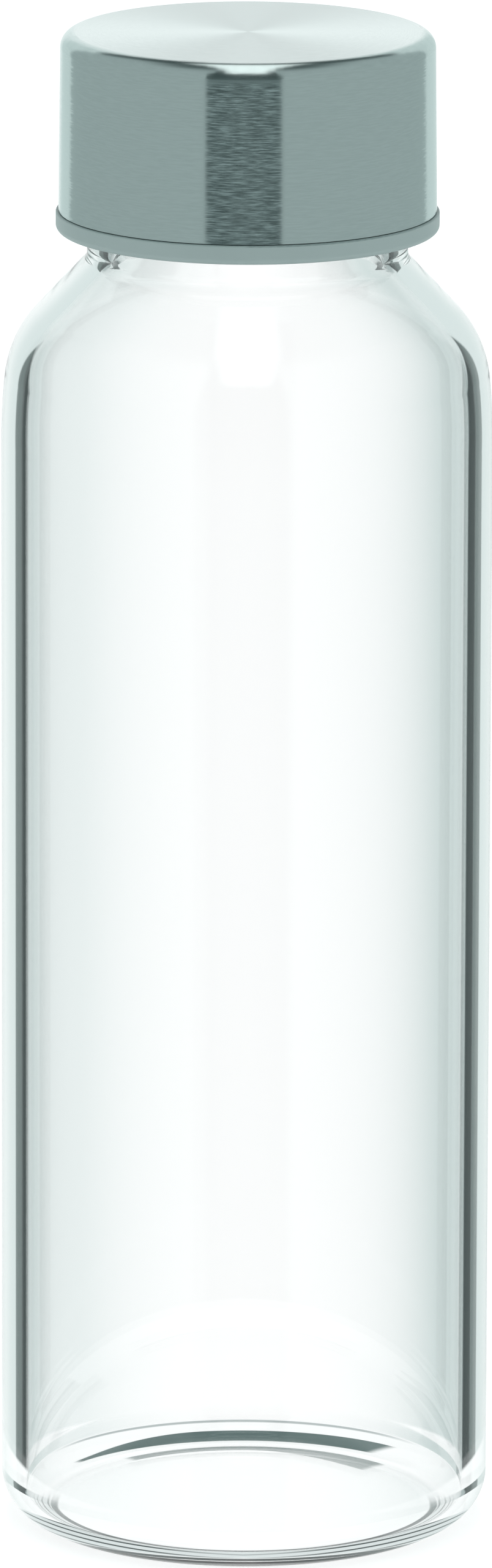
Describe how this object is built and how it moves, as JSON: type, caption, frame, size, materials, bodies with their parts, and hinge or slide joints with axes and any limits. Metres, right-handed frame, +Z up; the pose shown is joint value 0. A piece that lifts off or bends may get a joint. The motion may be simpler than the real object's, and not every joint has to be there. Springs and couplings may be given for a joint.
{
  "type": "water bottle",
  "caption": "Round glass water bottle with a rounded shoulder, a short threaded neck and a brushed steel screw cap with a grey plastic collar.",
  "frame": {"origin": "centre of the base, on the plane the bottle stands on", "axes": "+Z up along the bottle's axis; the glass thread starts on +X; the bottle is otherwise round, so +X and +Y are free"},
  "size_m": [0.065, 0.065, 0.2016],
  "materials": {
    "clear_glass": "smooth blown glass, faint green-grey tint",
    "brushed_steel": "fine brushing around the side, circular spin marks on the top",
    "grey_plastic": "satin moulded polypropylene",
    "silicone": "translucent white silicone"
  },
  "bodies": {
    "bottle": {"glass_bottle": "clear_glass"},
    "seal": {"seal_ring": "silicone"},
    "cap": {"inner_cap": "grey_plastic", "cap_shell": "brushed_steel"}
  },
  "joints": [
    {"name": "cap_rise", "type": "slide", "parent": "bottle", "child": "seal", "axis": [0, 0, 1], "range_m": [0, 0.02965]},
    {"name": "cap_turn", "type": "hinge", "parent": "seal", "child": "cap", "pos_m": [0, 0, 0.188], "axis": [0, 0, 1], "range_deg": [0, 2520]}
  ],
  "couplings": [
    {"joint": "cap_rise", "follows": "cap_turn", "m_per_rad": 0.0006737}
  ]
}
